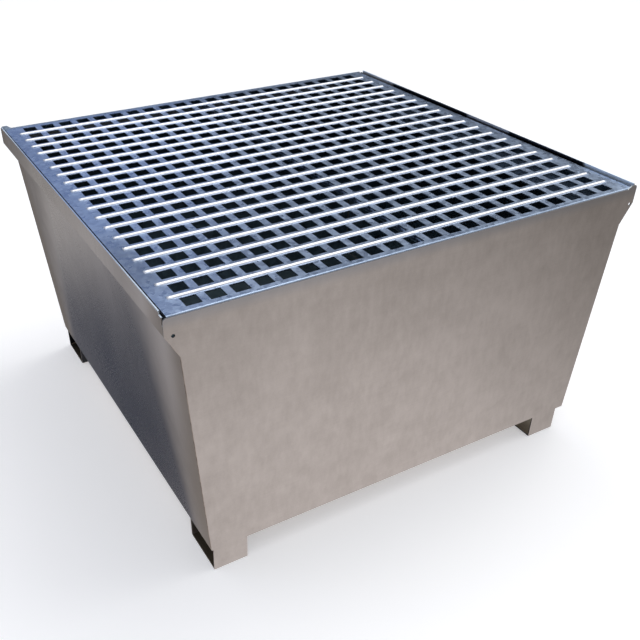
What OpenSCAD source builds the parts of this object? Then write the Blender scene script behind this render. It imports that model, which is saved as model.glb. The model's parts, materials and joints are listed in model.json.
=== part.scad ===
// Spill containment pallet: a tapered sheet-metal sump on four short feet, with a
// lift-off punched deck that rests on the sloping ledges of the side walls.
// The right wall is the left wall turned half round. The back panel is the front panel turned half
// round, but for its tabs, because the back feet stand straight behind the front ones.
// Origin at the middle of the footprint, on the floor. +X right, +Y back, +Z up, in mm.

/* [Overall] */
// Width over the side lips
overall_w = 1350; // [1250:10:1450]
// Depth over the raised ears of the front and back panels
overall_d = 1360; // [1260:10:1460]
// Height from the floor to the top of the side lips
overall_h = 810; // [700:10:1000]
// Height of the side lips above the front and back panels
lip_rise = 9; // [6:1:20]

/* [Sump] */
// Thickness of the sump's sheet
sheet_t = 3; // [2:0.5:4]
// Inward lean of the front and back panels, in degrees
panel_lean = 4.1; // [2:0.1:6]
// Height of the upright lip at the top of each side wall
lip_h = 53; // [40:1:70]
// Height of the sloping ledge under the lip
ledge_h = 60; // [40:1:80]
// Distance that the ledge slopes inward
ledge_run = 33; // [20:1:45]
// Distance that the bottom corners stand in from the lips
bottom_inset = 80; // [60:1:110]
// Length of the gap between the top of a side wall's end and a panel
corner_gap = 6; // [4:1:12]
// Height of that gap at the front left and the back right corner
short_gap_h = 28; // [15:1:60]
// Height of that gap at the front right and the back left corner
tall_gap_h = 75; // [40:1:90]
// Length of the cut-out in a wall's end beside an ear hole, at the corners with the tall gap
window_l = 12; // [8:1:20]
// Height of that cut-out
window_h = 42; // [25:1:60]
// Length of the notch in the top of a lip, at the corners with the short gap
notch_l = 14; // [8:1:25]
// Depth of that notch
notch_h = 9; // [5:1:15]
// Radius of the panels' top corners
ear_r = 8; // [2:1:12]
// Height that a panel's right ear rises above its top edge
ear_rise = 8.5; // [4:0.5:8.5]
// Width of the raised part of that ear
ear_tip_w = 20; // [12:1:40]
// Width of the slope from there down to the panel's top edge
ear_slope_w = 12; // [6:1:30]
// Diameter of the hole in each ear
ear_hole_d = 9; // [5:1:14]
// Distance of that hole from the outer edge of the left ear
ear_hole_edge_left = 20; // [12:1:22]
// Distance of that hole from the outer edge of the right ear
ear_hole_edge_right = 12; // [10:1:22]
// Distance of that hole below the panel's top edge
ear_hole_drop = 46; // [30:1:55]

/* [Feet] */
// Height of the sump's floor above the ground
foot_h = 74; // [60:1:110]
// Width of a foot, left to right
foot_w = 94; // [70:1:140]
// Depth of a foot, front to back
foot_d = 150; // [100:5:250]
// Thickness of a foot's bracket
foot_t = 4; // [3:0.5:6]
// Distance of the left feet from the sump's left bottom edge
foot_inset_left = 5; // [0:1:60]
// Distance of the right feet from the sump's right bottom edge
foot_inset_right = 27; // [0:1:60]

/* [Deck] */
// Thickness of the punched plate
plate_t = 3; // [2:0.5:5]
// Depth of the flanges that are bent down at the front and back
flange_h = 25; // [15:1:40]
// Gap between the deck's edges and the side lips
deck_gap_x = 8; // [5:0.5:12]
// Gap between the deck's edges and the panels
deck_gap_y = 3; // [2.5:0.5:8]
// Number of openings from left to right
openings_x = 22; // [10:1:24]
// Number of rows of openings from front to back
rows_y = 20; // [10:1:20]
// Width of an opening
opening_w = 37.5; // [20:0.5:42]
// Depth of an opening
opening_d = 38.5; // [20:0.5:42]
// Plain border at the left and right of the openings
border_x = 51; // [40:1:80]
// Plain border in front of and behind the openings
border_y = 19.5; // [12:0.5:40]
// Width of a grip bar
grip_w = 12; // [6:0.5:14]
// Height of a grip bar above the plate
grip_h = 4; // [2:0.5:5]
// Distance between a grip bar's ends and the plate's edges
grip_end_gap = 28; // [15:1:40]
// Distance of each grip bar in front of the middle of its strip
grip_shift = 2.5; // [0:0.5:5]
// Thickness of the bars along the deck's left and right edges
side_bar_t = 5; // [4:1:10]
// Diameter of the stiffening tube under the middle of the deck
tube_d = 20; // [16:1:22]
// Wall of that tube
tube_t = 2.5; // [1.5:0.5:4]

/* [Hidden] */
$fn = 48;
fit_gap = 0.4;
bend_r = 3.5;
bend_steps = 5;
cut = 20;

panel_top = overall_h - lip_rise;
panel_d = overall_d - 2 * ear_rise * tan(panel_lean);
panel_run = (panel_top - foot_h) * tan(panel_lean);
lip_z = overall_h - lip_h;
ledge_z = lip_z - ledge_h;
wall_lean = atan((bottom_inset - ledge_run) / (ledge_z - foot_h));
ledge_lean = atan(ledge_run / ledge_h);

floor_half_w = overall_w / 2 - bottom_inset - sheet_t / cos(wall_lean);
floor_half_d = panel_d / 2 - panel_run - sheet_t / cos(panel_lean);
foot_left_x = -overall_w / 2 + bottom_inset + foot_inset_left;
foot_right_x = overall_w / 2 - bottom_inset - foot_inset_right - foot_w;

deck_w = overall_w - 2 * (sheet_t + deck_gap_x);
deck_d = panel_d - 2 * (sheet_t + deck_gap_y);
deck_z = panel_top;
under_z = deck_z - plate_t;
pitch_x = (deck_w - 2 * border_x - opening_w) / (openings_x - 1);
pitch_y = (deck_d - 2 * border_y - opening_d) / (rows_y - 1);
bar_count = rows_y - 1;
bar_half_l = deck_d / 2 - plate_t - bend_r;
// Height of the ledge's upper face under the outer edge of the deck
rest_z = lip_z + (sheet_t - (sheet_t + deck_gap_x) * cos(ledge_lean)) / sin(ledge_lean);

// A grip bar is the top of a round bar: its radius, and how far its axis lies under the plate's top
grip_r = (grip_w * grip_w / 4 + grip_h * grip_h) / (2 * grip_h);
grip_sink = grip_r - grip_h;

function bar_name(i) = str("grip_bar_", i < 10 ? "0" : "", i);
function bar_y(i) = (i - rows_y / 2) * pitch_y - grip_shift;

sump_colour = [0.62, 0.60, 0.58];
deck_colour = [0.50, 0.57, 0.66];
grip_colour = [0.86, 0.88, 0.92];

// ---- bent sheet ----

function unit(a, b) = (b - a) / norm(b - a);
function left(v) = [-v[1], v[0]];
function turned(v, a) = [v[0] * cos(a) - v[1] * sin(a), v[0] * sin(a) + v[1] * cos(a)];

// A path shifted sideways by d, to the left of its direction, with mitred corners
function shifted(p, d) =
    let (last = len(p) - 1)
    [for (i = [0 : last])
        let (n1 = left(i > 0 ? unit(p[i - 1], p[i]) : unit(p[0], p[1])),
             n2 = left(i < last ? unit(p[i], p[i + 1]) : unit(p[last - 1], p[last])))
        p[i] + (n1 + n2) * d / (1 + n1 * n2)];

// The round of a bend at b, on the way from a to c: pairs of a point and its normal
function bend(a, b, c) =
    let (u = unit(a, b), v = unit(b, c),
         turn = atan2(u[0] * v[1] - u[1] * v[0], u * v),
         reach = bend_r * tan(abs(turn) / 2),
         centre = b - u * reach + left(u) * sign(turn) * bend_r)
    [for (i = [0 : bend_steps])
        let (n = turned(left(u), turn * i / bend_steps))
        [centre - n * sign(turn) * bend_r, n]];

// The cross-section of a bent sheet: path is its outer face, with the sheet on the left of it
module sheet_section(path, t) {
    mid = shifted(path, t / 2);
    last = len(mid) - 1;
    line = concat(
        [[mid[0], left(unit(mid[0], mid[1]))]],
        [for (i = [1 : last - 1]) each bend(mid[i - 1], mid[i], mid[i + 1])],
        [[mid[last], left(unit(mid[last - 1], mid[last]))]]
    );
    polygon(concat(
        [for (q = line) q[0] + q[1] * t / 2],
        [for (i = [len(line) - 1 : -1 : 0]) line[i][0] - line[i][1] * t / 2]
    ));
}

// Draws a section in Y and Z, w long in X, centred
module along_x(w) rotate([90, 0, 90]) linear_extrude(height = w, center = true) children();

// Draws a section in X and Z, d long in Y, centred
module along_y(d) rotate([90, 0, 0]) linear_extrude(height = d, center = true) children();

// ---- sump ----

// The points of a round corner of radius r, from angle a0 to a1 about c
function corner(c, r, a0, a1) =
    [for (i = [0 : bend_steps]) let (a = a0 + (a1 - a0) * i / bend_steps) c + r * [cos(a), sin(a)]];

// Where a foot's or tab's left edge comes when it is turned half round
function half_round(x) = -x - foot_w;

// The outline of a panel in X and Z. Its sides follow the side walls, and tabs from each x front the feet.
function panel_outline(tabs) =
    let (w = overall_w / 2, ear = w - ear_r, ear_z = panel_top - ear_r, b = w - bottom_inset)
    concat(
        corner([ear, ear_z + ear_rise], ear_r, 0, 90),
        [[w - ear_tip_w, panel_top + ear_rise], [w - ear_tip_w - ear_slope_w, panel_top]],
        corner([-ear, ear_z], ear_r, 90, 180),
        [[-w, lip_z], [-w + ledge_run, ledge_z], [-b, foot_h]],
        [for (x = tabs) for (p = [[x, foot_h], [x, 0], [x + foot_w, 0], [x + foot_w, foot_h]]) p],
        [[b, foot_h], [w - ledge_run, ledge_z], [w, lip_z]]
    );

module panel(tabs) {
    hole_z = -ear_hole_drop / cos(panel_lean);
    color(sump_colour)
    translate([0, -panel_d / 2, panel_top])
    rotate([90 + panel_lean, 0, 0])
    translate([0, 0, -sheet_t])
    difference() {
        linear_extrude(height = sheet_t)
            polygon([for (p = panel_outline(tabs)) [p[0], (p[1] - panel_top) / cos(panel_lean)]]);
        for (x = [ear_hole_edge_left - overall_w / 2, overall_w / 2 - ear_hole_edge_right])
            translate([x, hole_z, -1])
                cylinder(d = ear_hole_d, h = sheet_t + 2);
    }
}

module front_panel() panel([foot_left_x, foot_right_x]);
module back_panel() rotate([0, 0, 180]) panel([half_round(foot_right_x), half_round(foot_left_x)]);

// The space between the inner faces of the two panels
module between_panels() {
    top = overall_h + cut;
    half_top = panel_d / 2 - sheet_t / cos(panel_lean) - (panel_top - top) * tan(panel_lean);
    half_bottom = panel_d / 2 - sheet_t / cos(panel_lean) - panel_top * tan(panel_lean);
    along_x(overall_w + 2 * cut)
        polygon([[-half_top, top], [half_top, top], [half_bottom, 0], [-half_bottom, 0]]);
}

// The left wall before its ends are cut, from panel to panel
module whole_wall() {
    w = overall_w / 2;
    face = [[-w, overall_h], [-w, lip_z], [-w + ledge_run, ledge_z], [-w + bottom_inset, foot_h]];
    intersection() {
        along_y(overall_d + 2 * cut) sheet_section(face, sheet_t);
        between_panels();
    }
}

// What is cut from the wall's end at the front (-1) or back (1): l long, from the height z up to z + h
module end_cut(side, l, z, h) {
    y = panel_d / 2 - sheet_t - l;
    translate([-overall_w / 2, side * (y + cut), z + h / 2])
        cube([4 * ledge_run, 2 * cut, h], center = true);
}

module left_wall() {
    tall_gap_z = overall_h - tall_gap_h;
    color(sump_colour)
    difference() {
        whole_wall();
        end_cut(-1, corner_gap, overall_h - short_gap_h, short_gap_h + cut);
        end_cut(-1, corner_gap + notch_l, overall_h - notch_h, notch_h + cut);
        end_cut(1, corner_gap, tall_gap_z, tall_gap_h + cut);
        end_cut(1, window_l, tall_gap_z, window_h);
    }
}

module right_wall() rotate([0, 0, 180]) left_wall();

module floor_plate() {
    color(sump_colour)
    translate([-floor_half_w, -floor_half_d, foot_h])
        cube([2 * floor_half_w, 2 * floor_half_d, sheet_t]);
}

// ---- feet ----

// A bent bracket behind a panel's tab: a sole on the ground and a back flange up to the floor plate
module foot(x) {
    tab_y = -panel_d / 2 + panel_top * tan(panel_lean) + sheet_t / cos(panel_lean);
    back_y = -panel_d / 2 + panel_run + foot_d;
    color(sump_colour)
    translate([x + foot_w / 2, 0, 0])
        along_x(foot_w) sheet_section([[tab_y, 0], [back_y, 0], [back_y, foot_h]], foot_t);
}

module foot_front_left() foot(foot_left_x);
module foot_front_right() foot(foot_right_x);
module foot_back_left() rotate([0, 0, 180]) foot(half_round(foot_left_x));
module foot_back_right() rotate([0, 0, 180]) foot(half_round(foot_right_x));

// ---- deck ----

module deck_plate() {
    half = deck_d / 2;
    section = [[half, deck_z - flange_h], [half, deck_z], [-half, deck_z], [-half, deck_z - flange_h]];
    color(deck_colour)
    difference() {
        along_x(deck_w) sheet_section(section, plate_t);
        translate([0, 0, under_z - 1]) linear_extrude(height = plate_t + 2)
            for (i = [0 : openings_x - 1], j = [0 : rows_y - 1])
                translate([(i - (openings_x - 1) / 2) * pitch_x, (j - (rows_y - 1) / 2) * pitch_y])
                    square([opening_w, opening_d], center = true);
    }
}

// A flat bar on edge under the plate, which stands on the sloping ledge
module side_bar_left() {
    bottom = rest_z + fit_gap;
    color(deck_colour)
    translate([-deck_w / 2, -bar_half_l, bottom])
        cube([side_bar_t, 2 * bar_half_l, under_z - bottom]);
}

module side_bar_right() mirror([1, 0, 0]) side_bar_left();

module centre_tube() {
    color(deck_colour)
    translate([0, 0, under_z - tube_d / 2])
    rotate([90, 0, 0])
    difference() {
        cylinder(d = tube_d, h = 2 * bar_half_l, center = true);
        cylinder(d = tube_d - 2 * tube_t, h = 2 * bar_half_l + 2, center = true);
    }
}

// A half-round bar with rounded ends, welded along the strip between two rows of openings
module grip_bar(i) {
    half = deck_w / 2 - grip_end_gap - grip_w / 2;
    color(grip_colour)
    translate([0, bar_y(i), deck_z])
    difference() {
        translate([0, 0, -grip_sink]) {
            rotate([0, 90, 0]) cylinder(r = grip_r, h = 2 * half, center = true);
            for (side = [-1, 1]) translate([side * half, 0, 0]) sphere(r = grip_r);
        }
        translate([0, 0, -cut / 2]) cube([2 * half + 2 * cut, 2 * cut, cut], center = true);
    }
}

front_panel();
back_panel();
left_wall();
right_wall();
floor_plate();
foot_front_left();
foot_front_right();
foot_back_left();
foot_back_right();
deck_plate();
side_bar_left();
side_bar_right();
centre_tube();
for (i = [1 : bar_count])
    grip_bar(i);
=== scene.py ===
"""Looks for the spill containment pallet: steel sump, galvanised deck, studio stage and camera."""
import json
import math
import random

import bmesh
import bpy
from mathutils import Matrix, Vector

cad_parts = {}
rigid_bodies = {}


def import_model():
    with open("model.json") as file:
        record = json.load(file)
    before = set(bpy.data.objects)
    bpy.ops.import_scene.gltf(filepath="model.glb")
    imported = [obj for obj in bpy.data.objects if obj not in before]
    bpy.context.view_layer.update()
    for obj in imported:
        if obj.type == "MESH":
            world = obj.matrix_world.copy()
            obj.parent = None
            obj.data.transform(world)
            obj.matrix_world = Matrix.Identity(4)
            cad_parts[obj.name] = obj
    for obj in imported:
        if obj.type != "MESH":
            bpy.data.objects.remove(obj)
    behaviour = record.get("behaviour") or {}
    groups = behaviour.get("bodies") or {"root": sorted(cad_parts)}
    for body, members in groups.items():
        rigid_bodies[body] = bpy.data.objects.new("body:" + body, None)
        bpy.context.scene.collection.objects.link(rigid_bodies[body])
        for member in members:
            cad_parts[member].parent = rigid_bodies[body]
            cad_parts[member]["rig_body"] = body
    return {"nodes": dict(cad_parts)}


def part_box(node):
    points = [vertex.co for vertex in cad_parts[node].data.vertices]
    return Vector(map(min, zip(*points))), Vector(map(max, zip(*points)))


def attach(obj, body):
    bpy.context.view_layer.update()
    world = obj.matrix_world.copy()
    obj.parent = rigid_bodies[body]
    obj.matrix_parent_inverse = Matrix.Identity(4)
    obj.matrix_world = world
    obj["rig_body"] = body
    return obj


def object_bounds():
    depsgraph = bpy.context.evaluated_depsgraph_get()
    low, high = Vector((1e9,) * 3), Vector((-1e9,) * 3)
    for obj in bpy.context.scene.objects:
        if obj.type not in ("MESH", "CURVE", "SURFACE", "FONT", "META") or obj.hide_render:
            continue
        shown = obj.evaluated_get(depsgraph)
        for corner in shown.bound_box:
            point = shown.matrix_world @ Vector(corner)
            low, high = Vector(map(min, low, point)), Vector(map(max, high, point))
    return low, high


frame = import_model()
cad_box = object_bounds()
nodes = frame["nodes"]
MM = 0.001

SUMP_NODES = [n for n, o in nodes.items() if o["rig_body"] == "sump"]
GRIP_NODES = sorted(n for n in nodes if n.startswith("grip_bar_"))
DECK_NODES = [n for n, o in nodes.items() if o["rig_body"] == "grating" and n not in GRIP_NODES]

# ---- camera ----

CAMERA_AT = (-1.155, -2.103, 1.681)
CAMERA_PITCH = 30.93
CAMERA_YAW = 30.68
CAMERA_LENS = 48.43


def add_camera():
    data = bpy.data.cameras.new("camera")
    data.lens = CAMERA_LENS
    data.sensor_width = 36.0
    data.clip_start = 0.05
    data.clip_end = 60.0
    camera = bpy.data.objects.new("camera", data)
    camera.location = CAMERA_AT
    camera.rotation_euler = (math.radians(90 - CAMERA_PITCH), 0, math.radians(-CAMERA_YAW))
    bpy.context.scene.collection.objects.link(camera)
    bpy.context.scene.camera = camera


add_camera()

# ---- shader helpers ----


class Shader:
    """A material's node tree, with one short method per kind of node."""

    def __init__(self, name):
        self.material = bpy.data.materials.new(name)
        self.material.use_nodes = True
        self.tree = self.material.node_tree
        self.bsdf = self.tree.nodes["Principled BSDF"]
        self.coords = self.tree.nodes.new("ShaderNodeTexCoord")

    def link(self, source, target):
        self.tree.links.new(source, target)

    def put(self, value, socket):
        """Links value to the socket if it is another socket, and sets it otherwise."""
        if isinstance(value, bpy.types.NodeSocket):
            self.link(value, socket)
        else:
            socket.default_value = value

    def place(self, scale=(1, 1, 1)):
        """Object coordinates, stretched."""
        node = self.tree.nodes.new("ShaderNodeMapping")
        node.inputs["Scale"].default_value = scale
        self.link(self.coords.outputs["Object"], node.inputs["Vector"])
        return node.outputs["Vector"]

    def noise(self, scale, detail=3.0, rough=0.5, stretch=(1, 1, 1)):
        node = self.tree.nodes.new("ShaderNodeTexNoise")
        node.inputs["Scale"].default_value = scale
        node.inputs["Detail"].default_value = detail
        node.inputs["Roughness"].default_value = rough
        self.link(self.place(stretch), node.inputs["Vector"])
        return node.outputs["Fac"]

    def cells(self, scale, stretch=(1, 1, 1)):
        """A grey value per Voronoi cell."""
        node = self.tree.nodes.new("ShaderNodeTexVoronoi")
        node.inputs["Scale"].default_value = scale
        self.link(self.place(stretch), node.inputs["Vector"])
        grey = self.tree.nodes.new("ShaderNodeRGBToBW")
        self.link(node.outputs["Color"], grey.inputs["Color"])
        return grey.outputs["Val"]

    def ramp(self, fac, low, high):
        """0 below low and 1 above high, with a smooth step between."""
        node = self.tree.nodes.new("ShaderNodeMapRange")
        node.interpolation_type = "SMOOTHSTEP"
        self.put(low, node.inputs["From Min"])
        self.put(high, node.inputs["From Max"])
        self.link(fac, node.inputs["Value"])
        return node.outputs["Result"]

    def range(self, fac, low, high):
        """fac from 0 to 1, turned to low to high."""
        node = self.tree.nodes.new("ShaderNodeMapRange")
        node.inputs["To Min"].default_value = low
        node.inputs["To Max"].default_value = high
        self.link(fac, node.inputs["Value"])
        return node.outputs["Result"]

    def math(self, operation, a, b=0.0):
        node = self.tree.nodes.new("ShaderNodeMath")
        node.operation = operation
        self.put(a, node.inputs[0])
        self.put(b, node.inputs[1])
        return node.outputs[0]

    def mix(self, fac, a, b):
        node = self.tree.nodes.new("ShaderNodeMix")
        node.data_type = "RGBA"
        self.put(fac, node.inputs["Factor"])
        self.put(a if isinstance(a, bpy.types.NodeSocket) else (*a, 1), node.inputs[6])
        self.put(b if isinstance(b, bpy.types.NodeSocket) else (*b, 1), node.inputs[7])
        return node.outputs[2]

    def axis(self, vector, index):
        node = self.tree.nodes.new("ShaderNodeSeparateXYZ")
        self.link(vector, node.inputs[0])
        return node.outputs[index]

    def bump(self, height, distance, strength=1.0, under=None):
        node = self.tree.nodes.new("ShaderNodeBump")
        node.inputs["Distance"].default_value = distance
        node.inputs["Strength"].default_value = strength
        self.link(height, node.inputs["Height"])
        if under is not None:
            self.link(under, node.inputs["Normal"])
        return node.outputs["Normal"]

    def finish(self, color, roughness, normal, metallic=1.0):
        self.put(color, self.bsdf.inputs["Base Color"])
        self.put(roughness, self.bsdf.inputs["Roughness"])
        self.put(metallic, self.bsdf.inputs["Metallic"])
        self.link(normal, self.bsdf.inputs["Normal"])
        return self.material


# ---- materials ----

SUMP_LIGHT = (0.66, 0.625, 0.605)
SUMP_DARK = (0.48, 0.45, 0.43)
# Beside the panel seams: a heat tint that is partly painted shade, and bright scuffs that are partly a
# painted highlight
HEAT_TINT_AND_SHADE = (0.46, 0.405, 0.35)
SCUFF_AND_HIGHLIGHT = (0.95, 0.91, 0.90)
TOP_BAND = (0.42, 0.43, 0.46)
# Painted shade inside the sump and in the hollow feet, a little lighter on the floor plate and the feet's
# soles
INSIDE_SHADE = (0.19, 0.235, 0.275)
FLOOR_PLATE_SHADE = (0.33, 0.40, 0.41)
FOOT_SHADE = (0.045, 0.048, 0.055)
FOOT_SOLE_SHADE = (0.23, 0.205, 0.16)
# Painted highlights on the side lips' tops, on the ends of their rims and inner faces, and on the panels'
# ears; painted shade along the lips' inner faces
LIP_TOP_HIGHLIGHT = (0.80, 0.90, 1.0)
BLUE_HIGHLIGHT = (0.88, 0.95, 1.0)
LIP_SHADE = (0.016, 0.017, 0.022)
# Painted shade on the panels' upward top edges
PANEL_TOP_SHADE = (0.05, 0.05, 0.05)
EDGE_LIGHT = (0.42, 0.405, 0.39)
EDGE_DARK = (0.26, 0.245, 0.235)

# Heights and places on the sump, in metres; a pair is where a soft step starts and ends
FLOOR_LEVEL = 0.0735
NEAR_FLOOR = 0.1
WALL_SHADE_FADE = (0.25, 0.65)
SCUFF_AND_HIGHLIGHT_RISE = (0.30, 0.68)
UNDER_LIP = (0.750, 0.760)
LIP_FACE = (0.757, 0.765)
BAND_RISE = (0.766, 0.800)
EAR_RISE = (0.790, 0.795)
LIP_TOP_Z = 0.810
# How far out in Y the panels' edges are at the top, how high that is, and how much they slope inward
PANEL_EDGE, PANEL_EDGE_Z, PANEL_SLOPE = 0.68, 0.80, 0.0717
# Where the side lips' inner faces carry painted shade: from and to, in metres towards the corner with the
# raised ear
LIP_SHADE_SPANS = ((-0.455, -0.03), (0.17, 0.49))
# Where the side lips' rims carry a painted highlight, counted the same way
RIM_HIGHLIGHT_SPAN = (-0.62, -0.28)


def facing_centre(s):
    """1 on faces that look towards the object's upright middle line."""
    inward = s.tree.nodes.new("ShaderNodeVectorMath")
    inward.operation = "DOT_PRODUCT"
    flat = s.tree.nodes.new("ShaderNodeVectorMath")
    flat.operation = "MULTIPLY"
    flat.inputs[1].default_value = (1, 1, 0)
    s.link(s.coords.outputs["Object"], flat.inputs[0])
    s.link(flat.outputs[0], inward.inputs[0])
    s.link(s.coords.outputs["Normal"], inward.inputs[1])
    return s.math("LESS_THAN", inward.outputs["Value"], -0.3)


def inside_of_sump(s):
    """1 on faces that look into the sump, and on the floor plate's upper face; 0 on the outside."""
    height = s.axis(s.coords.outputs["Object"], 2)
    up = s.math("GREATER_THAN", s.axis(s.coords.outputs["Normal"], 2), 0.9)
    on_floor = s.math("MULTIPLY", up, s.math("LESS_THAN", height, NEAR_FLOOR))
    under_lip = s.math("SUBTRACT", 1.0, s.ramp(height, *UNDER_LIP))
    return s.math("MULTIPLY", s.math("MAXIMUM", facing_centre(s), on_floor), under_lip)


def near_panel_seam(s):
    """Masks for the side walls beside the panels: broad scuffs, bright scuffs that are partly a painted
    highlight, and the heated seam, whose tint is partly painted shade.
    """
    place = s.coords.outputs["Object"]
    along = s.math("ABSOLUTE", s.axis(place, 1))
    height = s.axis(place, 2)
    lean = s.math("MULTIPLY", s.math("SUBTRACT", PANEL_EDGE_Z, height), PANEL_SLOPE)
    gap = s.math("SUBTRACT", s.math("SUBTRACT", PANEL_EDGE, lean), along)
    width = s.math("ADD", 0.11, s.math("MULTIPLY", height, 0.38))
    scuffed = s.math("SUBTRACT", 1.0, s.ramp(s.math("DIVIDE", gap, width), 0.15, 1.0))
    notch_end = s.math("GREATER_THAN", s.math("MULTIPLY", s.axis(place, 0), s.axis(place, 1)), 0.0)
    bright = s.math("MULTIPLY", s.math("MULTIPLY", scuffed, notch_end), s.ramp(height, *SCUFF_AND_HIGHLIGHT_RISE))
    return scuffed, bright, s.math("SUBTRACT", 1.0, s.ramp(gap, 0.01, 0.13))


def lip_inside(s):
    """Masks for the side lips: inner face, its stretches of painted shade and its end of painted highlight,
    and the outer rim's painted highlight.
    """
    place = s.coords.outputs["Object"]
    side = s.math("SIGN", s.axis(place, 0))
    inward = s.math("LESS_THAN", s.math("MULTIPLY", side, s.axis(s.coords.outputs["Normal"], 0)), -0.6)
    face = s.math("MULTIPLY", inward, s.ramp(s.axis(place, 2), *LIP_FACE))
    along = s.math("MULTIPLY", s.math("MULTIPLY", side, s.axis(place, 1)), -1.0)
    shaded_lip = 0.0
    for start, end in LIP_SHADE_SPANS:
        rise, fall = (s.ramp(along, at - 0.009, at + 0.009) for at in (start, end))
        shaded_lip = s.math("ADD", shaded_lip, s.math("SUBTRACT", rise, fall))
    highlight_end = s.ramp(along, LIP_SHADE_SPANS[1][1] - 0.008, LIP_SHADE_SPANS[1][1] + 0.008)
    rim_highlight_end = s.math("SUBTRACT", 1.0, s.ramp(along, *RIM_HIGHLIGHT_SPAN))
    rim = s.ramp(s.axis(place, 2), s.range(rim_highlight_end, 0.8095, 0.802), LIP_TOP_Z)
    return face, shaded_lip, highlight_end, s.math("MULTIPLY", rim, rim_highlight_end)


def sump_steel(name, satin=(0.27, 0.39), seam_tint_and_shade=0.0):
    """Mill-finish steel, with painted shade inside the sump and in the feet. Only the side walls have a
    seam tint, scuffs and lips, partly painted light; the panels have a painted highlight on the ears and
    painted shade on their top edges.
    """
    s = Shader(name)
    clouds = s.noise(1.7, detail=4)
    blotches = s.noise(16, detail=5, rough=0.6)
    flow = s.noise(58, detail=3, rough=0.6, stretch=(1, 1, 0.4))
    grain = s.noise(260, detail=2, rough=0.7)
    height = s.axis(s.coords.outputs["Object"], 2)
    upward = s.math("GREATER_THAN", s.axis(s.coords.outputs["Normal"], 2), 0.5)
    rolled = s.noise(6, detail=6, rough=0.75, stretch=(1, 1, 34))
    tone = s.math("MULTIPLY", clouds, 0.44)
    for layer, share in ((blotches, 0.24), (flow, 0.20), (rolled, 0.10), (grain, 0.12)):
        tone = s.math("ADD", tone, s.math("MULTIPLY", layer, share))
    color = s.mix(s.ramp(tone, 0.36, 0.74), SUMP_DARK, SUMP_LIGHT)
    roughness = s.math("ADD", s.range(clouds, *satin), s.math("MULTIPLY", grain, 0.08))
    if seam_tint_and_shade:
        scuffed, bright, heated_and_shaded = near_panel_seam(s)
        # Bright scuffs, partly a painted highlight, and the heated seam, whose tint is partly painted shade
        color = s.mix(bright, color, SCUFF_AND_HIGHLIGHT)
        color = s.mix(s.math("MULTIPLY", heated_and_shaded, s.range(blotches, 0.5, seam_tint_and_shade)), color, HEAT_TINT_AND_SHADE)
        roughness = s.math("ADD", roughness, s.math("MULTIPLY", scuffed, 0.28))
        # Side lips: painted shade and a painted highlight on the inner face, and a painted highlight on the
        # rim's front end
        face, shaded_lip, highlight_end, rim_highlight = lip_inside(s)
        inner_lip = s.mix(shaded_lip, s.mix(highlight_end, SUMP_DARK, BLUE_HIGHLIGHT), LIP_SHADE)
        color = s.mix(rim_highlight, s.mix(face, color, inner_lip), BLUE_HIGHLIGHT)
        # Painted highlight on the side walls' upward faces, the lips' tops
        color = s.mix(upward, color, LIP_TOP_HIGHLIGHT)
    else:
        color = s.mix(s.math("MULTIPLY", s.ramp(height, *BAND_RISE), 0.75), color, TOP_BAND)
        # Painted highlight on the ears' inner faces, and painted shade on the panels' upward top edges
        ear_highlight = s.math("MULTIPLY", s.ramp(height, *EAR_RISE), facing_centre(s))
        color = s.mix(ear_highlight, color, BLUE_HIGHLIGHT)
        color = s.mix(s.math("MULTIPLY", upward, 0.6), color, PANEL_TOP_SHADE)
    # Painted shade inside the sump: darker under the deck, lighter on the floor plate, darkest in the feet
    # with their soles a little lighter
    painted_shade = s.mix(s.ramp(blotches, 0.3, 0.7), INSIDE_SHADE, tuple(1.9 * c for c in INSIDE_SHADE))
    painted_shade = s.mix(s.ramp(height, *WALL_SHADE_FADE), painted_shade, tuple(0.55 * c for c in INSIDE_SHADE))
    painted_shade = s.mix(s.math("LESS_THAN", height, NEAR_FLOOR), painted_shade, FLOOR_PLATE_SHADE)
    foot_shading = s.mix(upward, FOOT_SHADE, FOOT_SOLE_SHADE)
    painted_shade = s.mix(s.math("LESS_THAN", height, FLOOR_LEVEL), painted_shade, foot_shading)
    color = s.mix(inside_of_sump(s), color, painted_shade)
    ripple = s.bump(s.noise(3.1, detail=1), 0.0022, 1.0, s.bump(blotches, 0.0006, 0.4))
    normal = s.bump(grain, 0.00003, 0.5, s.bump(flow, 0.0002, 0.4, ripple))
    return s.finish(color, roughness, normal)


def worn_edge():
    """The brighter rubbed corner along every sheet edge of the sump."""
    s = Shader("worn_edge")
    rub = s.noise(60, detail=4, rough=0.65)
    color = s.mix(s.ramp(rub, 0.35, 0.65), EDGE_DARK, EDGE_LIGHT)
    return s.finish(color, s.range(rub, 0.24, 0.42), s.bump(rub, 0.0002, 0.4))


ZINC_LIGHT = (0.54, 0.655, 0.83)
ZINC_DARK = (0.325, 0.405, 0.545)
ZINC_EDGE_LIGHT = (0.56, 0.65, 0.78)
ZINC_EDGE_DARK = (0.32, 0.40, 0.52)
ZINC_DARK_STRETCH = (0.20, 0.23, 0.27)
# Painted shade on the deck plate's bends
ZINC_BEND_SHADE = (0.06, 0.075, 0.10)
GRIP_LIGHT = (0.97, 0.97, 0.98)
GRIP_DARK = (0.84, 0.86, 0.91)
# Where the deck plate bends down at the front and back, in metres from the middle
DECK_RIM = (0.6690, 0.6712)
# The darker stretch of its left border: how far to the left it starts, and where it begins and ends in Y
DARK_STRETCH_SIDE = (0.600, 0.625)
DARK_STRETCH_START = (-0.60, -0.50)
DARK_STRETCH_END = (-0.36, -0.16)


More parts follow.
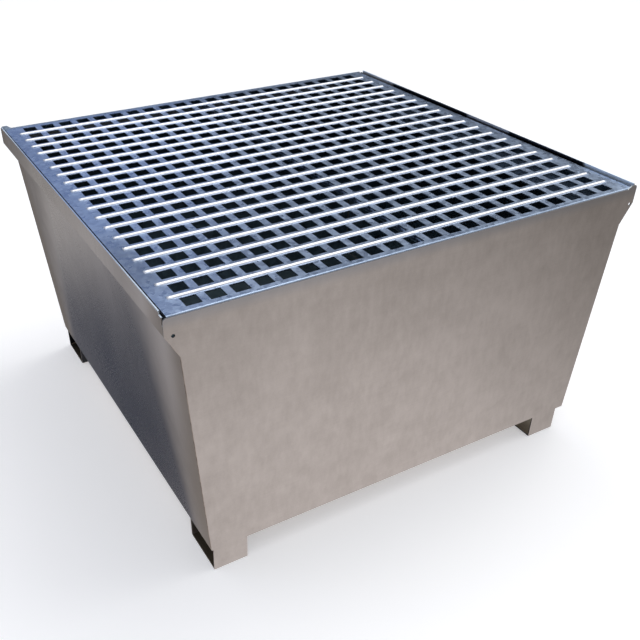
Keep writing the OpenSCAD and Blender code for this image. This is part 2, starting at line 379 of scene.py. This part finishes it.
def deck_zinc(name, shade=1.0):
    """Galvanised steel with spangle and smears, with painted shade where the plate bends down, and darker
    along a stretch of its left border.
    """
    s = Shader(name)
    spangle = s.cells(95)
    fine = s.cells(240)
    clouds = s.noise(2.6, detail=4)
    smear = s.noise(10, detail=5, rough=0.7, stretch=(1, 4, 1))
    tone = s.math("ADD", s.math("MULTIPLY", spangle, 0.30), s.math("MULTIPLY", fine, 0.12))
    tone = s.math("ADD", tone, s.math("MULTIPLY", clouds, 0.42))
    tone = s.math("ADD", tone, s.math("MULTIPLY", smear, 0.30))
    dark = tuple(shade * c for c in ZINC_DARK)
    light = tuple(shade * c for c in ZINC_LIGHT)
    color = s.mix(s.ramp(tone, 0.32, 0.80), dark, light)
    place = s.coords.outputs["Object"]
    along = s.axis(place, 1)
    # Darker along a stretch of the left border
    left = s.ramp(s.math("MULTIPLY", s.axis(place, 0), -1.0), *DARK_STRETCH_SIDE)
    dark_stretch = s.math("SUBTRACT", s.ramp(along, *DARK_STRETCH_START), s.ramp(along, *DARK_STRETCH_END))
    dark_stretch = s.math("MULTIPLY", s.math("MULTIPLY", dark_stretch, left), s.range(smear, 0.15, 0.75))
    color = s.mix(dark_stretch, color, ZINC_DARK_STRETCH)
    # Painted shade where the plate bends down at the front and back
    rim = s.ramp(s.math("ABSOLUTE", along), *DECK_RIM)
    color = s.mix(s.math("MULTIPLY", rim, 0.6), color, ZINC_BEND_SHADE)
    roughness = s.math("ADD", s.range(spangle, 0.20, 0.32), s.math("MULTIPLY", smear, 0.10))
    normal = s.bump(spangle, 0.00015, 0.35, s.bump(smear, 0.0008, 0.4))
    return s.finish(color, roughness, normal)


def zinc_edge():
    """The rubbed corner along the deck's edges."""
    s = Shader("zinc_edge")
    rub = s.noise(70, detail=4, rough=0.6)
    color = s.mix(s.ramp(rub, 0.35, 0.65), ZINC_EDGE_DARK, ZINC_EDGE_LIGHT)
    return s.finish(color, s.range(rub, 0.22, 0.38), s.bump(rub, 0.0002, 0.4))


def grip_steel():
    """The bright grip bars, with wear and scratches along them."""
    s = Shader("grip_steel")
    wear = s.noise(9, detail=5, rough=0.6, stretch=(1, 6, 6))
    scratch = s.noise(40, detail=3, rough=0.8, stretch=(0.2, 9, 9))
    color = s.mix(s.ramp(wear, 0.30, 0.70), GRIP_DARK, GRIP_LIGHT)
    roughness = s.math("ADD", s.range(wear, 0.30, 0.44), s.math("MULTIPLY", scratch, 0.08))
    return s.finish(color, roughness, s.bump(scratch, 0.0002, 0.35))


def weld_metal(name, light, dark):
    """Weld metal, tinted by heat and finely rippled."""
    s = Shader(name)
    heat = s.noise(45, detail=4)
    ripple = s.noise(420, detail=2)
    color = s.mix(s.ramp(heat, 0.35, 0.65), dark, light)
    return s.finish(color, s.range(heat, 0.30, 0.50), s.bump(ripple, 0.0002, 0.5))


MATERIALS = {
    "panel": sump_steel("sump_panel_steel"),
    "wall": sump_steel("sump_wall_steel", satin=(0.20, 0.28), seam_tint_and_shade=0.95),
    "edge": worn_edge(),
    "deck": deck_zinc("deck_zinc"),
    "deck_bar": deck_zinc("deck_bar_zinc", shade=0.8),
    "zinc_edge": zinc_edge(),
    "grip": grip_steel(),
    "sump_weld": weld_metal("sump_weld", (0.56, 0.50, 0.44), (0.26, 0.20, 0.16)),
    "deck_weld": weld_metal("deck_weld", (0.66, 0.74, 0.86), (0.36, 0.42, 0.52)),
}

# ---- CAD nodes: bevelled edges and materials ----


def dress(name, surface, edge, width):
    """Rounds a CAD node's sharp edges with a Bevel modifier, and gives the rounds their own material."""
    o = nodes[name]
    o.data.materials.clear()
    o.data.materials.append(MATERIALS[surface])
    o.data.materials.append(MATERIALS[edge])
    bevel = o.modifiers.new("soft_edges", "BEVEL")
    bevel.width = width
    bevel.segments = 2
    bevel.limit_method = "ANGLE"
    bevel.angle_limit = math.radians(40)
    bevel.material = 1
    for p in o.data.polygons:
        p.use_smooth = False


SURFACES = {
    "front_panel": "panel", "back_panel": "panel", "floor_plate": "panel",
    "left_wall": "wall", "right_wall": "wall",
    "foot_front_left": "panel", "foot_front_right": "panel",
    "foot_back_left": "panel", "foot_back_right": "panel",
}
for name, surface in SURFACES.items():
    dress(name, surface, "edge", 0.45 * MM)
for name in DECK_NODES:
    dress(name, "deck" if name == "deck_plate" else "deck_bar", "zinc_edge", 0.7 * MM)
for name in GRIP_NODES:
    dress(name, "grip", "grip", 0.5 * MM)

# ---- welds ----

# The CAD's sheet, leans and levels, in metres
SHEET = 3 * MM
FOOT_SHEET = 4 * MM
LEAN = math.radians(4.1)
EAR_TOP = 809.5 * MM
FLOOR_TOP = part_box("floor_plate")[1][2]
FLOOR_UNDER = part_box("floor_plate")[0][2]
DECK_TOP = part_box("deck_plate")[1][2]
HALF_W = cad_box[1][0]
HALF_D = cad_box[1][1]
WALL_PROFILE = [(HALF_W - 80 * MM, FLOOR_UNDER), (HALF_W - 33 * MM, 697 * MM), (HALF_W, 757 * MM)]
SEAM_TOP = 732 * MM

# Beads: wide and high
OUTER_SEAM = (5.0 * MM, 0.8 * MM)
INNER_SEAM = (6.0 * MM, 2.2 * MM)
FILLET = (6 * MM, 2.4 * MM)
TUBE_FILLET = (6 * MM, 2.2 * MM)
GRIP_TACK = (4 * MM, 1.5 * MM)
TACK_REACH = 7 * MM


def wall_face(z):
    """Half the distance between the side walls' outer faces at a height."""
    for (x0, z0), (x1, z1) in zip(WALL_PROFILE, WALL_PROFILE[1:]):
        if z <= z1:
            return x0 + (x1 - x0) * (z - z0) / (z1 - z0)
    return HALF_W


def panel_inside(z):
    """Half the distance between the two panels' inner faces at a height."""
    return HALF_D - (EAR_TOP - z) * math.tan(LEAN) - SHEET / math.cos(LEAN)


def resampled(points, step):
    """Points along a polyline, at most a step apart."""
    out = [points[0]]
    for a, b in zip(points, points[1:]):
        count = max(1, round((b - a).length / step))
        out += [a.lerp(b, (i + 1) / count) for i in range(count)]
    return out


def add_bead(shape, points, out, wide, high, dice, pitch=2.6 * MM, sides=7):
    """Adds a rippled weld bead along a polyline, wide across it and high along out, with closed ends."""
    line = resampled([Vector(p) for p in points], pitch / 2)
    out = Vector(out).normalized()
    rings = []
    for i, p in enumerate(line):
        along = (line[min(i + 1, len(line) - 1)] - line[max(i - 1, 0)]).normalized()
        across = along.cross(out).normalized()
        lift = across.cross(along).normalized()
        swell = (1.08 if i % 2 else 0.90) * dice.uniform(0.93, 1.07)
        if i in (0, len(line) - 1):
            swell *= 0.35
        ring = []
        for k in range(sides):
            angle = 2 * math.pi * k / sides
            offset = across * (wide / 2 * math.cos(angle)) + lift * (high * math.sin(angle))
            ring.append(shape.verts.new(p + offset * swell))
        rings.append(ring)
    for a, b in zip(rings, rings[1:]):
        for k in range(sides):
            shape.faces.new((a[k], a[(k + 1) % sides], b[(k + 1) % sides], b[k]))
    shape.faces.new(list(reversed(rings[0])))
    shape.faces.new(rings[-1])


def add_piece(name, body, surface, beads, seed):
    """Makes one piece of weld beads, each given as points, out, wide and high."""
    dice = random.Random(seed)
    shape = bmesh.new()
    for points, out, wide, high in beads:
        add_bead(shape, points, out, wide, high, dice)
    bmesh.ops.recalc_face_normals(shape, faces=shape.faces)
    mesh = bpy.data.meshes.new(name)
    shape.to_mesh(mesh)
    shape.free()
    for p in mesh.polygons:
        p.use_smooth = True
    mesh.materials.append(MATERIALS[surface])
    piece = bpy.data.objects.new(name, mesh)
    bpy.context.scene.collection.objects.link(piece)
    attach(piece, body)


def corner_seams():
    """A bead up each outer corner, between a side wall's outer face and a panel's edge, and one inside."""
    heights = [FLOOR_UNDER + 1 * MM, WALL_PROFILE[1][1], SEAM_TOP]
    for sx, side in ((-1, "left"), (1, "right")):
        for sy, end in ((-1, "front"), (1, "back")):
            outer = [(sx * wall_face(z), sy * panel_inside(z), z) for z in heights]
            inner = [(sx * (wall_face(z) - SHEET), sy * panel_inside(z), z) for z in heights]
            beads = [(outer, (sx, 0, -0.08), *OUTER_SEAM), (inner, (-sx, -sy, 0), *INNER_SEAM)]
            add_piece(f"weld_seam_{end}_{side}", "sump", "sump_weld", beads, 11 + sx + 3 * sy)


def floor_seam():
    """A bead round the floor plate's upper edge."""
    x = wall_face(FLOOR_TOP) - SHEET
    y = panel_inside(FLOOR_TOP)
    ring = [(-x, -y), (x, -y), (x, y), (-x, y), (-x, -y)]
    beads = []
    for (x0, y0), (x1, y1) in zip(ring, ring[1:]):
        inward = (-(y1 - y0), x1 - x0, 1.2)
        beads.append(([(x0, y0, FLOOR_TOP), (x1, y1, FLOOR_TOP)], inward, *INNER_SEAM))
    add_piece("weld_floor", "sump", "sump_weld", beads, 31)


def foot_welds():
    """Beads where each foot's bracket meets the floor plate and the panel's tab."""
    for name in [n for n in SUMP_NODES if n.startswith("foot_")]:
        low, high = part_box(name)
        sy = 1 if low[1] > 0 else -1
        x0, x1 = low[0] + 4 * MM, high[0] - 4 * MM
        near, far = sorted((abs(low[1]), abs(high[1])))
        lines = [
            (near, FLOOR_UNDER, (0, -sy, -1)),
            (near + FOOT_SHEET, FLOOR_UNDER, (0, sy, -1)),
            (far, FOOT_SHEET, (0, -sy, 1)),
        ]
        beads = [([(x0, sy * y, z), (x1, sy * y, z)], out, *FILLET) for y, z, out in lines]
        add_piece("weld_" + name, "sump", "sump_weld", beads, len(name))


def grip_tacks():
    """Short beads on both sides of every grip bar, at its ends and over the centre tube."""
    beads = []
    for name in GRIP_NODES:
        low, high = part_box(name)
        end = high[0] - TACK_REACH
        for x in (-end, 0, end):
            a, b = x - TACK_REACH, x + TACK_REACH
            for y, out in ((low[1], -1), (high[1], 1)):
                beads.append(([(a, y, DECK_TOP), (b, y, DECK_TOP)], (0, out, 1.3), *GRIP_TACK))
    add_piece("weld_grip_bars", "grating", "deck_weld", beads, 5)


def stitch(length, count, reach):
    """The ends of evenly spaced stitch welds along Y."""
    for i in range(count):
        y = -reach + 2 * reach * i / (count - 1)
        yield y - length / 2, y + length / 2


def deck_stitches():
    """Stitch welds under the deck plate, along the side bars and the centre tube."""
    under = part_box("side_bar_left")[1][2]
    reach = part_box("side_bar_left")[1][1] - 40 * MM
    inner = -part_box("side_bar_left")[1][0]
    tube = 0.45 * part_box("centre_tube")[1][0]
    for side in (-1, 1):
        beads = [([(side * inner, y0, under), (side * inner, y1, under)], (-side, 0, -1), *FILLET)
                 for y0, y1 in stitch(40 * MM, 8, reach)]
        name = "left" if side < 0 else "right"
        add_piece("weld_side_bar_" + name, "grating", "deck_weld", beads, 7 + side)
    beads = [([(side * tube, y0, under), (side * tube, y1, under)], (side, 0, -1.5), *TUBE_FILLET)
             for side in (-1, 1) for y0, y1 in stitch(30 * MM, 9, reach)]
    add_piece("weld_centre_tube", "grating", "deck_weld", beads, 9)


corner_seams()
floor_seam()
foot_welds()
grip_tacks()
deck_stitches()

# ---- stage ----

STAGE_REACH = 14
FLOOR_GLOW = 0.35
FLOOR_DROP = 0.2 * MM


def add_stage_piece(name, shape, glow):
    """Makes a pale stage piece that steel doesn't mirror, from a bmesh."""
    mesh = bpy.data.meshes.new(name)
    shape.to_mesh(mesh)
    shape.free()
    piece = bpy.data.objects.new(name, mesh)
    bpy.context.scene.collection.objects.link(piece)
    s = Shader(name)
    dust = s.noise(3)
    s.finish(s.mix(dust, (0.90, 0.90, 0.90), (0.92, 0.92, 0.92)), 0.9, s.bump(dust, 0.0001), 0.0)
    s.bsdf.inputs["Emission Color"].default_value = (1, 1, 1, 1)
    s.bsdf.inputs["Emission Strength"].default_value = glow
    mesh.materials.append(s.material)
    piece.visible_glossy = False
    return piece


def add_floor():
    shape = bmesh.new()
    bmesh.ops.create_grid(shape, x_segments=1, y_segments=1, size=STAGE_REACH)
    floor = add_stage_piece("studio_floor", shape, FLOOR_GLOW)
    floor.location = (0, 0, cad_box[0][2] - FLOOR_DROP)


def add_backdrop():
    """A white dome behind the floor's edge, which only the camera sees."""
    shape = bmesh.new()
    bmesh.ops.create_uvsphere(shape, u_segments=48, v_segments=24, radius=0.98 * STAGE_REACH)
    bmesh.ops.reverse_faces(shape, faces=shape.faces)
    backdrop = add_stage_piece("studio_backdrop", shape, 1.0)
    backdrop.visible_diffuse = False
    backdrop.visible_shadow = False
    backdrop.visible_transmission = False
    backdrop.visible_volume_scatter = False


# The studio dome by height, from straight down to straight up: (height, colour)
DOME = [(-1.0, (0.92, 0.865, 0.85)), (-0.78, (0.86, 0.805, 0.79)), (-0.62, (0.51, 0.475, 0.46)),
        (-0.50, (0.34, 0.32, 0.305)), (-0.15, (0.32, 0.31, 0.305)), (0.10, (0.11, 0.11, 0.115)),
        (0.28, (0.135, 0.135, 0.145)), (0.47, (0.10, 0.13, 0.19)), (0.66, (0.68, 0.70, 0.77)),
        (1.0, (0.80, 0.80, 0.83))]
# Soft cards in front of the dome: direction, full and faded-out angle in degrees, colour
CARDS = [
    ((0.53, -0.50, -0.69), 6, 21.5, (1.02, 0.955, 0.935)),
    ((0.86, -0.44, -0.38), 6, 29, (0.24, 0.22, 0.205)),
    ((-0.12, 0.895, -0.43), 4, 12, (0.44, 0.425, 0.425)),
    ((-0.32, 0.82, -0.48), 3, 9, (0.66, 0.64, 0.66)),
    ((-0.11, 0.77, -0.63), 8, 15, (0.01, 0.025, 0.06)),
    ((0.21, 0.90, 0.37), 5, 13, (0.29, 0.37, 0.60)),
    ((0.70, 0.66, 0.30), 5, 26, (0.155, 0.17, 0.195)),
    ((0.74, 0.05, 0.68), 13, 37, (1.75, 1.75, 1.75)),
    ((-0.64, 0.71, -0.31), 6, 15, (0.015, 0.012, 0.0)),
    ((-0.75, 0.565, 0.345), 5, 11, (1.15, 1.38, 1.90)),
]


def add_world():
    """A soft studio dome that grows brighter overhead, with large soft cards for the steel to mirror."""
    world = bpy.data.worlds.new("studio")
    world.use_nodes = True
    tree = world.node_tree
    coords = tree.nodes.new("ShaderNodeTexCoord")
    split = tree.nodes.new("ShaderNodeSeparateXYZ")
    tree.links.new(coords.outputs["Generated"], split.inputs[0])
    height = tree.nodes.new("ShaderNodeMapRange")
    height.inputs["From Min"].default_value = -1
    tree.links.new(split.outputs["Z"], height.inputs["Value"])
    ramp = tree.nodes.new("ShaderNodeValToRGB")
    ramp.color_ramp.interpolation = "EASE"
    while len(ramp.color_ramp.elements) < len(DOME):
        ramp.color_ramp.elements.new(0.5)
    for element, (at, colour) in zip(ramp.color_ramp.elements, DOME):
        element.position = (at + 1) / 2
        element.color = (*colour, 1)
    tree.links.new(height.outputs["Result"], ramp.inputs["Fac"])
    light = ramp.outputs["Color"]
    for direction, full, faded, colour in CARDS:
        toward = tree.nodes.new("ShaderNodeVectorMath")
        toward.operation = "DOT_PRODUCT"
        tree.links.new(coords.outputs["Generated"], toward.inputs[0])
        toward.inputs[1].default_value = Vector(direction).normalized()
        edge = tree.nodes.new("ShaderNodeMapRange")
        edge.interpolation_type = "SMOOTHSTEP"
        edge.inputs["From Min"].default_value = math.cos(math.radians(faded))
        edge.inputs["From Max"].default_value = math.cos(math.radians(full))
        tree.links.new(toward.outputs["Value"], edge.inputs["Value"])
        card = tree.nodes.new("ShaderNodeMix")
        card.data_type = "RGBA"
        tree.links.new(edge.outputs["Result"], card.inputs["Factor"])
        tree.links.new(light, card.inputs[6])
        card.inputs[7].default_value = (*colour, 1)
        light = card.outputs[2]
    tree.links.new(light, tree.nodes["Background"].inputs["Color"])
    bpy.context.scene.world = world


def add_light(name, at, aim, size, power):
    data = bpy.data.lights.new(name, "AREA")
    data.shape = "RECTANGLE"
    data.size, data.size_y = size
    data.energy = power
    light = bpy.data.objects.new(name, data)
    light.location = at
    light.rotation_euler = (Vector(aim) - Vector(at)).to_track_quat("-Z", "Y").to_euler()
    bpy.context.scene.collection.objects.link(light)


add_floor()
add_backdrop()
add_world()
add_light("top_softbox", at=(0.9, 0.5, 4.2), aim=(0, 0, 0.8), size=(2.6, 2.0), power=30)

bpy.context.scene.view_settings.view_transform = "Standard"
